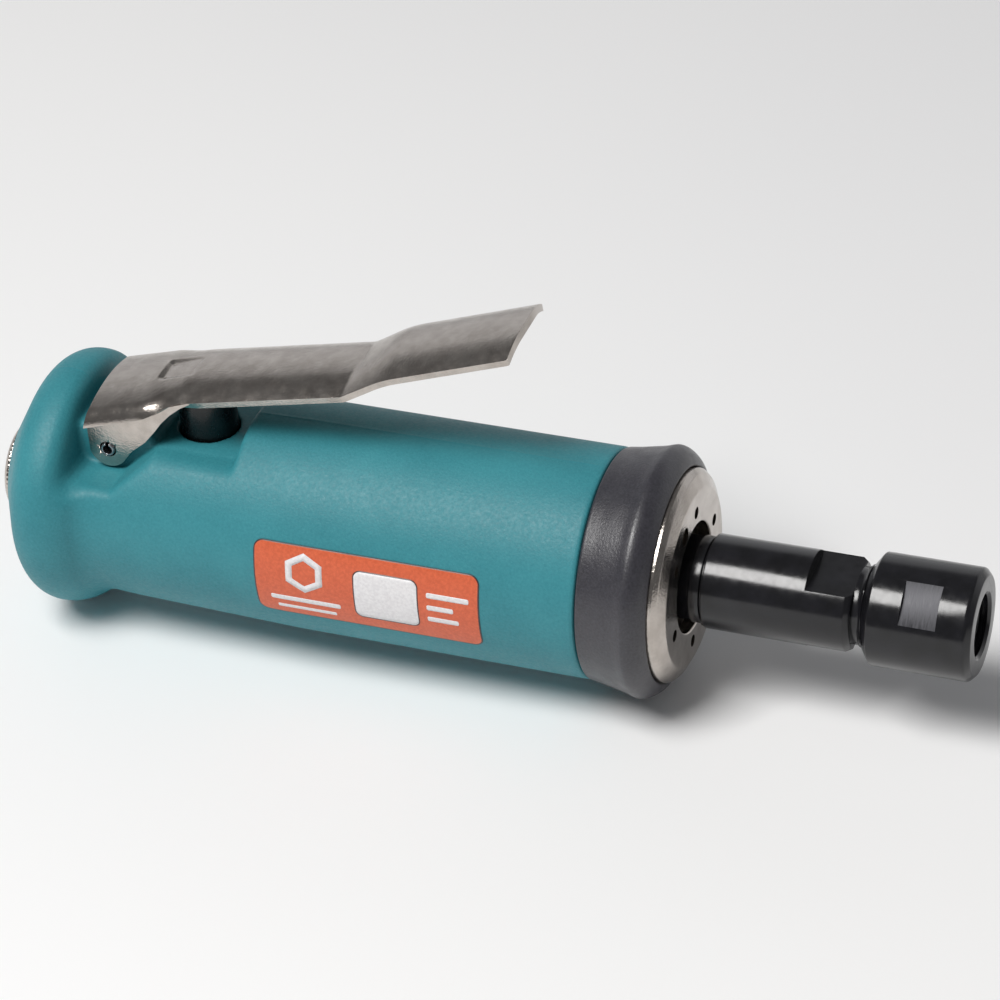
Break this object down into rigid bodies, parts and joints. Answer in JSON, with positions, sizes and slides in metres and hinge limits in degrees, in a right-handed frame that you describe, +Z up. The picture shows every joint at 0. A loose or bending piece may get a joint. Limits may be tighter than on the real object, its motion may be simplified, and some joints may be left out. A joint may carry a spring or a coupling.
{
  "type": "straight die grinder",
  "caption": "Straight air die grinder: composite body with throttle lever, rubber collar, exhaust cap, spindle and collet chuck; rear air inlet.",
  "frame": {"origin": "centre of the collet's mouth, on the spindle axis", "axes": "+X forward along the spindle, the way a shank leaves the collet; +Z up towards the throttle lever; +Y to the left seen from behind"},
  "size_m": [0.1725, 0.0444, 0.0687],
  "materials": {
    "teal_composite": "fine-textured matte glass-filled nylon",
    "label_print": "satin printed polyester label",
    "black_rubber": "matte moulded rubber",
    "nickel_plate": "bright nickel plate",
    "black_oxide": "polished black-oxide steel",
    "bare_steel": "ground steel",
    "bearing_steel": "polished bearing steel",
    "cage_brass": "satin pressed brass",
    "bushing_brass": "turned brass",
    "plate_iron": "lapped iron",
    "vane_phenolic": "machined phenolic laminate",
    "felt": "pressed wool felt",
    "seal_rubber": "nitrile rubber",
    "button_plastic": "satin black acetal",
    "gasket_paper": "compressed fibre gasket"
  },
  "bodies": {
    "handpiece": {"housing": "teal_composite", "label": "label_print", "collar": "black_rubber", "exhaust_cap": "nickel_plate", "muffler_felt": "felt", "cylinder": "plate_iron", "front_plate": "plate_iron", "rear_plate": "plate_iron", "rear_gasket": "gasket_paper", "dowel_pins": "bare_steel", "front_outer_race": "bearing_steel", "front_shields": "bare_steel", "rear_outer_race": "bearing_steel", "rear_shields": "bare_steel", "inlet_bushing": "nickel_plate", "inlet_o_ring": "seal_rubber", "inlet_screen": "bare_steel", "valve_seal": "seal_rubber", "valve_spring": "bare_steel", "stem_bushing": "bushing_brass", "stem_o_ring": "seal_rubber", "lever_pin": "bare_steel"},
    "spindle": {"rotor": "bare_steel", "vane_1": "vane_phenolic", "vane_2": "vane_phenolic", "vane_3": "vane_phenolic", "vane_4": "vane_phenolic", "rotor_spacer": "bare_steel", "snap_ring": "black_oxide", "front_inner_race": "bearing_steel", "rear_inner_race": "bearing_steel", "collet_body": "black_oxide"},
    "front_ball_set": {"front_balls": "bearing_steel", "front_cage": "cage_brass"},
    "rear_ball_set": {"rear_balls": "bearing_steel", "rear_cage": "cage_brass"},
    "chuck_collet": {"collet": "black_oxide"},
    "chuck_nut": {"collet_nut": "black_oxide"},
    "lever": {"throttle_lever": "nickel_plate"},
    "plunger": {"valve_stem": "bare_steel", "throttle_button": "button_plastic"},
    "tilt_valve": {"tip_valve": "bare_steel"}
  },
  "joints": [
    {"name": "spindle_spin", "type": "hinge", "parent": "handpiece", "child": "spindle", "pos_m": [0, 0, 0], "axis": [1, 0, 0], "continuous": true},
    {"name": "front_balls_roll", "type": "hinge", "parent": "handpiece", "child": "front_ball_set", "pos_m": [0, 0, 0], "axis": [1, 0, 0], "continuous": true},
    {"name": "rear_balls_roll", "type": "hinge", "parent": "handpiece", "child": "rear_ball_set", "pos_m": [0, 0, 0], "axis": [1, 0, 0], "continuous": true},
    {"name": "collet_draw", "type": "slide", "parent": "spindle", "child": "chuck_collet", "axis": [1, 0, 0], "range_m": [0, 0.0028]},
    {"name": "nut_turn", "type": "hinge", "parent": "chuck_collet", "child": "chuck_nut", "pos_m": [0, 0, 0], "axis": [1, 0, 0], "range_deg": [0, 720]},
    {"name": "lever_press", "type": "hinge", "parent": "handpiece", "child": "lever", "pos_m": [-0.149, 0, 0.01355], "axis": [0, 1, 0], "range_deg": [0, 12.5], "stiffness_Nm_per_rad": 1.2, "springref_deg": -8.59},
    {"name": "button_slide", "type": "slide", "parent": "handpiece", "child": "plunger", "axis": [0, 0, -1], "range_m": [0, 0.00355]},
    {"name": "valve_tilt", "type": "hinge", "parent": "handpiece", "child": "tilt_valve", "pos_m": [-0.15065, 0, 0.0044], "axis": [0, 1, 0], "range_deg": [0, 12.5], "deforming": ["valve_spring"]}
  ],
  "couplings": [
    {"joint": "front_balls_roll", "follows": "spindle_spin", "ratio": 0.3742},
    {"joint": "rear_balls_roll", "follows": "spindle_spin", "ratio": 0.364},
    {"joint": "collet_draw", "follows": "nut_turn", "m_per_rad": 0.00015914},
    {"joint": "button_slide", "follows": "lever_press", "m_per_rad": 0.016271},
    {"joint": "valve_tilt", "follows": "lever_press", "ratio": 1}
  ]
}
